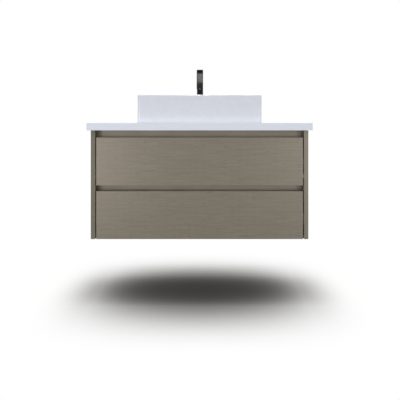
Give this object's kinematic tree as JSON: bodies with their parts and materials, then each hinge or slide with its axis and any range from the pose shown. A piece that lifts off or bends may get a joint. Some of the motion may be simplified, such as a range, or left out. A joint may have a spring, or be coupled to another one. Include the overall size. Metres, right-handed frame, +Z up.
{
  "type": "floating vanity",
  "caption": "Wall-hung bathroom vanity with handle-less drawers, stone top, rectangular vessel basin and arched tap.",
  "frame": {"origin": "on the wall, in the middle of the four wall fixing holes", "axes": "+X to the right along the cabinet's width, -Y out of the drawer fronts with the wall at Y = 0, +Z up"},
  "size_m": [0.93, 0.505, 0.731],
  "materials": {
    "taupe_laminate": "satin, fine grain",
    "channel_paint": "satin",
    "pale_board": "matt",
    "white_stone": "polished",
    "white_glaze": "gloss",
    "black_satin": "satin",
    "black_rubber": "matt",
    "chrome_plate": "polished",
    "zinc_steel": "zinc plated",
    "grey_steel": "fine texture",
    "white_plastic": "satin",
    "brass": "turned"
  },
  "bodies": {
    "cabinet": {"side_panel_left": "taupe_laminate", "side_panel_right": "taupe_laminate", "bottom_panel": "taupe_laminate", "upper_back_rail": "taupe_laminate", "lower_back_rail": "taupe_laminate", "front_rail": "taupe_laminate", "top_channel": "channel_paint", "middle_channel": "channel_paint", "carcass_dowels": "pale_board", "stone_top": "white_stone", "basin": "white_glaze", "tap_body": "black_satin", "basin_gasket": "black_rubber", "waste_seals": "black_rubber", "tap_seal": "black_rubber", "waste_body": "chrome_plate", "waste_nut": "chrome_plate", "wall_rosette": "chrome_plate", "bracket_screws": "chrome_plate", "runner_screws": "chrome_plate", "channel_blocks": "zinc_steel", "top_brackets": "zinc_steel", "tap_washer": "zinc_steel", "upper_cabinet_runners": "zinc_steel", "lower_cabinet_runners": "zinc_steel", "trap_tailpipe": "white_plastic", "trap_nuts": "white_plastic", "trap_bottle": "white_plastic", "trap_cup": "white_plastic", "outlet_pipe": "white_plastic", "tap_cartridge": "white_plastic", "click_cartridge": "brass", "cartridge_ring": "brass", "tap_shank": "brass", "tap_nut": "brass"},
    "upper_drawer": {"upper_drawer_runners": "zinc_steel", "upper_drawer_front": "taupe_laminate", "upper_drawer_left": "grey_steel", "upper_drawer_right": "grey_steel", "upper_drawer_back_left": "pale_board", "upper_drawer_back_right": "pale_board", "upper_pipe_guard": "white_plastic", "upper_drawer_bottom": "pale_board", "upper_front_angles": "zinc_steel", "upper_bumpers": "black_rubber"},
    "lower_drawer": {"lower_drawer_runners": "zinc_steel", "lower_drawer_front": "taupe_laminate", "lower_drawer_left": "grey_steel", "lower_drawer_right": "grey_steel", "lower_drawer_back": "pale_board", "lower_drawer_bottom": "pale_board", "lower_front_angles": "zinc_steel", "lower_bumpers": "black_rubber"},
    "upper_middles": {"upper_middle_runners": "zinc_steel"},
    "lower_middles": {"lower_middle_runners": "zinc_steel"},
    "plug": {"waste_plug": "chrome_plate"},
    "spout": {"tap_spout": "black_satin", "aerator": "chrome_plate"},
    "hub": {"lever_hub": "black_satin"},
    "lever": {"tap_lever": "black_satin"}
  },
  "joints": [
    {"name": "upper_drawer_slide", "type": "slide", "parent": "cabinet", "child": "upper_drawer", "axis": [0, -1, 0], "range_m": [0, 0.38]},
    {"name": "upper_middle_slide", "type": "slide", "parent": "cabinet", "child": "upper_middles", "axis": [0, -1, 0], "range_m": [0, 0.19]},
    {"name": "lower_drawer_slide", "type": "slide", "parent": "cabinet", "child": "lower_drawer", "axis": [0, -1, 0], "range_m": [0, 0.38]},
    {"name": "lower_middle_slide", "type": "slide", "parent": "cabinet", "child": "lower_middles", "axis": [0, -1, 0], "range_m": [0, 0.19]},
    {"name": "plug_press", "type": "slide", "parent": "cabinet", "child": "plug", "axis": [0, 0, -1], "range_m": [0, 0.008], "stiffness_N_per_m": 300, "springref_m": -0.008},
    {"name": "spout_swivel", "type": "hinge", "parent": "cabinet", "child": "spout", "pos_m": [0, -0.055, 0.33], "axis": [0, 0, 1], "range_deg": [-60, 60]},
    {"name": "mixer_turn", "type": "hinge", "parent": "cabinet", "child": "hub", "pos_m": [0.045, -0.055, 0.289], "axis": [1, 0, 0], "range_deg": [-35, 35]},
    {"name": "lever_lift", "type": "hinge", "parent": "hub", "child": "lever", "pos_m": [0.0533, -0.055, 0.289], "axis": [0, 1, 0], "range_deg": [0, 25]}
  ],
  "couplings": [
    {"joint": "upper_middle_slide", "follows": "upper_drawer_slide", "ratio": 0.5},
    {"joint": "lower_middle_slide", "follows": "lower_drawer_slide", "ratio": 0.5}
  ]
}
